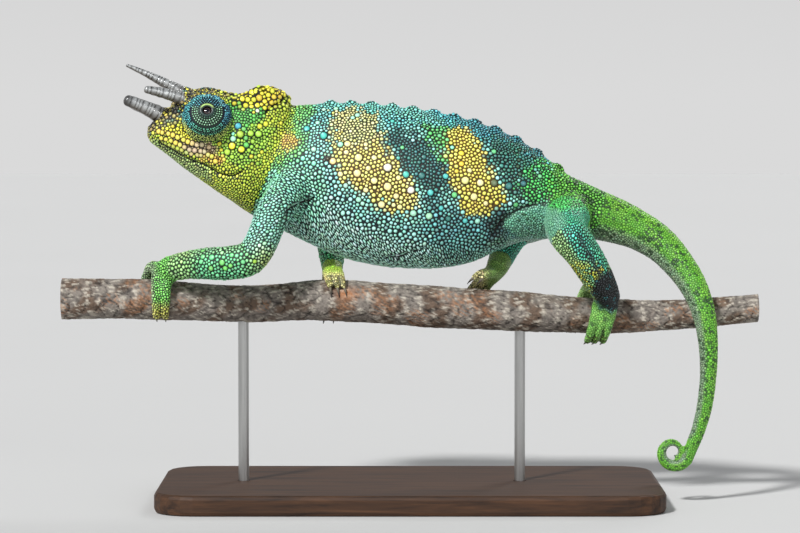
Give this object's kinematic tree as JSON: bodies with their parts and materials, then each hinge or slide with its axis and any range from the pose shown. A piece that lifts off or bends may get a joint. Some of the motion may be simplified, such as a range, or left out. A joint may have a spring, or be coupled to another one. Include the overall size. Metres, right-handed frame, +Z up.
{
  "type": "three-horned chameleon",
  "caption": "Life-size still model of a three-horned chameleon walking along a cut branch, its tail hanging in a loose curl, held up by a plain display stand.",
  "frame": {"origin": "middle of the display stand's underside", "axes": "+Z up, -X the way the animal faces along the branch, -Y its left side"},
  "size_m": [0.2088, 0.08, 0.1311],
  "materials": {
    "head_skin": "satin, scaly",
    "body_skin": "satin, scaly",
    "limb_skin": "satin, scaly",
    "tail_skin": "satin, scaly",
    "eye_skin": "satin, scaly",
    "eyeball": "wet gloss",
    "horn": "dull, ringed",
    "branch": "rough bark",
    "stand": "dark satin",
    "rod": "brushed"
  },
  "bodies": {
    "root": {"head": "head_skin", "jaw": "head_skin", "neck": "head_skin", "torso_front": "body_skin", "torso_rear": "body_skin", "pelvis": "body_skin", "tail_1": "tail_skin", "tail_2": "tail_skin", "tail_3": "tail_skin", "tail_4": "tail_skin", "tail_5": "tail_skin", "tail_6": "tail_skin", "eye_turret_left": "eye_skin", "eye_turret_right": "eye_skin", "eyeball_left": "eyeball", "eyeball_right": "eyeball", "horn_nose": "horn", "horn_left": "horn", "horn_right": "horn", "upper_arm_left": "limb_skin", "forearm_left": "limb_skin", "hand_left_outer": "limb_skin", "hand_left_inner": "limb_skin", "upper_arm_right": "limb_skin", "forearm_right": "limb_skin", "hand_right_inner": "limb_skin", "hand_right_outer": "limb_skin", "thigh_left": "limb_skin", "shank_left": "limb_skin", "foot_left_outer": "limb_skin", "foot_left_inner": "limb_skin", "thigh_right": "limb_skin", "shank_right": "limb_skin", "foot_right_inner": "limb_skin", "foot_right_outer": "limb_skin", "branch": "branch", "stand_base": "stand", "stand_rod_front": "rod", "stand_rod_rear": "rod"}
  },
  "joints": []
}
